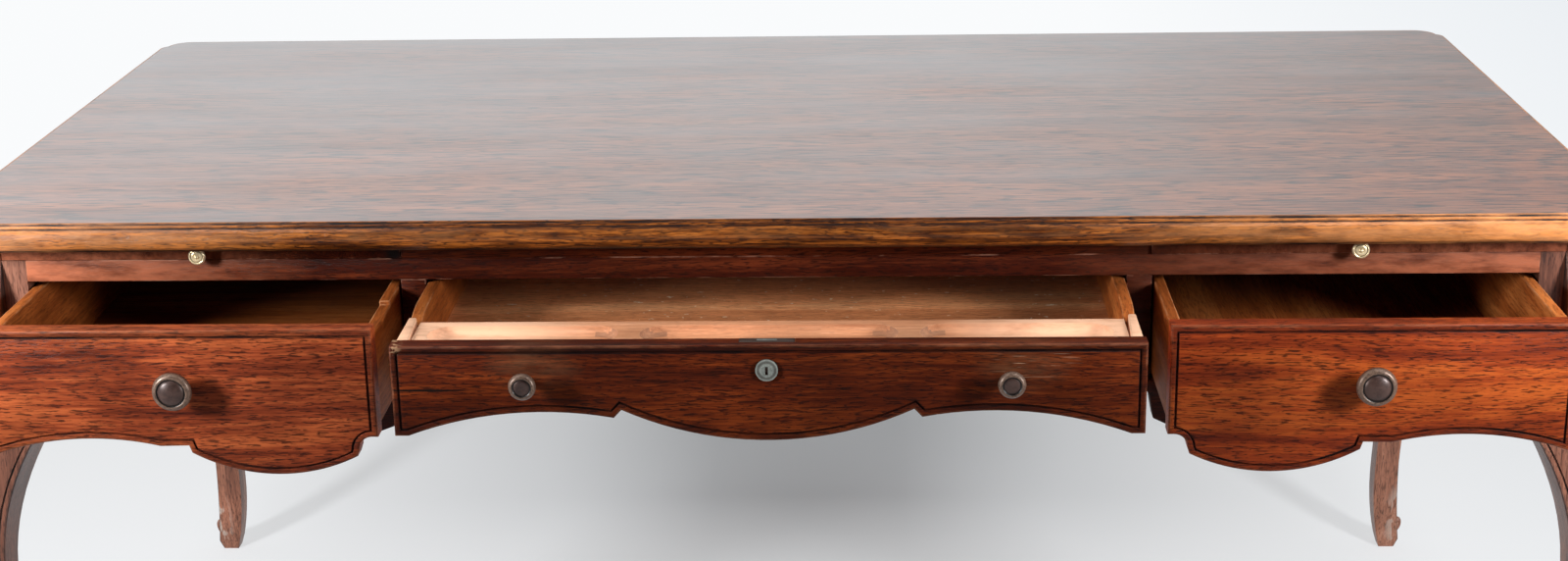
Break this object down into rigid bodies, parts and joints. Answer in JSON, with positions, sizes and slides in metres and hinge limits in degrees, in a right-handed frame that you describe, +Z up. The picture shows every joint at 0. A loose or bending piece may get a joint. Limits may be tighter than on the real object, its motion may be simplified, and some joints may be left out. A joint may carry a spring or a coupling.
{
  "type": "writing desk",
  "caption": "Large wooden writing desk with a moulded top, cabriole legs, shaped aprons, beaded drawers standing open, a pen tray, a lock and pull-out writing slides.",
  "frame": {"origin": "on the floor, in the middle of the room that the desk takes with its drawers standing open", "axes": "+X along the desk to the right, +Y from the front to the back, +Z up"},
  "size_m": [1.824, 1.115, 0.775],
  "materials": {
    "top_wood": "waxed, greyish brown",
    "edge_wood": "waxed, worn orange brown",
    "carcass_wood": "waxed, reddish brown",
    "leg_wood": "waxed, reddish brown",
    "front_wood": "waxed, reddish brown",
    "box_wood": "bare, orange brown",
    "inner_wood": "bare",
    "tray_wood": "bare, pale",
    "knob_metal": "aged, dark",
    "brass": "aged",
    "lock_metal": "dull"
  },
  "bodies": {
    "carcass": {"top_panel": "top_wood", "top_moulding": "edge_wood", "leg_front_left": "leg_wood", "leg_front_right": "leg_wood", "leg_rear_left": "leg_wood", "leg_rear_right": "leg_wood", "front_rail": "carcass_wood", "centre_filler": "carcass_wood", "divider_left": "carcass_wood", "divider_right": "carcass_wood", "front_apron": "carcass_wood", "back_apron": "carcass_wood", "side_apron_left": "carcass_wood", "side_apron_right": "carcass_wood", "lock_strike": "lock_metal", "partition_left": "inner_wood", "partition_right": "inner_wood", "runner_left_inner": "inner_wood", "runner_left_outer": "inner_wood", "runner_right_inner": "inner_wood", "runner_right_outer": "inner_wood", "runner_centre_left": "inner_wood", "runner_centre_right": "inner_wood", "bearer_left_inner": "inner_wood", "bearer_left_outer": "inner_wood", "bearer_right_inner": "inner_wood", "bearer_right_outer": "inner_wood", "corner_blocks": "inner_wood"},
    "drawer_left": {"drawer_left_front": "front_wood", "drawer_left_knob": "knob_metal", "drawer_left_side_inner": "box_wood", "drawer_left_side_outer": "box_wood", "drawer_left_back": "box_wood", "drawer_left_bottom": "box_wood"},
    "drawer_right": {"drawer_right_front": "front_wood", "drawer_right_knob": "knob_metal", "drawer_right_side_inner": "box_wood", "drawer_right_side_outer": "box_wood", "drawer_right_back": "box_wood", "drawer_right_bottom": "box_wood"},
    "drawer_centre": {"drawer_centre_front": "front_wood", "drawer_centre_knobs": "knob_metal", "drawer_centre_side_left": "box_wood", "drawer_centre_side_right": "box_wood", "drawer_centre_back": "box_wood", "drawer_centre_bottom": "box_wood", "pen_tray": "tray_wood", "drawer_centre_cheek_left": "tray_wood", "drawer_centre_cheek_right": "tray_wood", "lock_body": "lock_metal"},
    "slide_left": {"slide_left": "carcass_wood", "slide_left_knob": "brass", "slide_left_stop": "inner_wood"},
    "slide_right": {"slide_right": "carcass_wood", "slide_right_knob": "brass", "slide_right_stop": "inner_wood"},
    "lock_plug": {"lock_plug": "brass"},
    "lock_bolt": {"lock_bolt": "lock_metal"}
  },
  "joints": [
    {"name": "drawer_left_slide", "type": "slide", "parent": "carcass", "child": "drawer_left", "axis": [0, -1, 0], "range_m": [-0.162, 0.22]},
    {"name": "drawer_right_slide", "type": "slide", "parent": "carcass", "child": "drawer_right", "axis": [0, -1, 0], "range_m": [-0.162, 0.22]},
    {"name": "drawer_centre_slide", "type": "slide", "parent": "carcass", "child": "drawer_centre", "axis": [0, -1, 0], "range_m": [-0.214, 0.165]},
    {"name": "writing_slide_left", "type": "slide", "parent": "carcass", "child": "slide_left", "axis": [0, -1, 0], "range_m": [0, 0.3]},
    {"name": "writing_slide_right", "type": "slide", "parent": "carcass", "child": "slide_right", "axis": [0, -1, 0], "range_m": [-0.003, 0.297]},
    {"name": "lock_turn", "type": "hinge", "parent": "drawer_centre", "child": "lock_plug", "pos_m": [0, -0.5335, 0.671], "axis": [0, 1, 0], "range_deg": [0, 90]},
    {"name": "lock_throw", "type": "slide", "parent": "drawer_centre", "child": "lock_bolt", "axis": [0, 0, 1], "range_m": [0, 0.008]}
  ],
  "couplings": [
    {"joint": "lock_throw", "follows": "lock_turn", "m_per_rad": 0.00509}
  ]
}
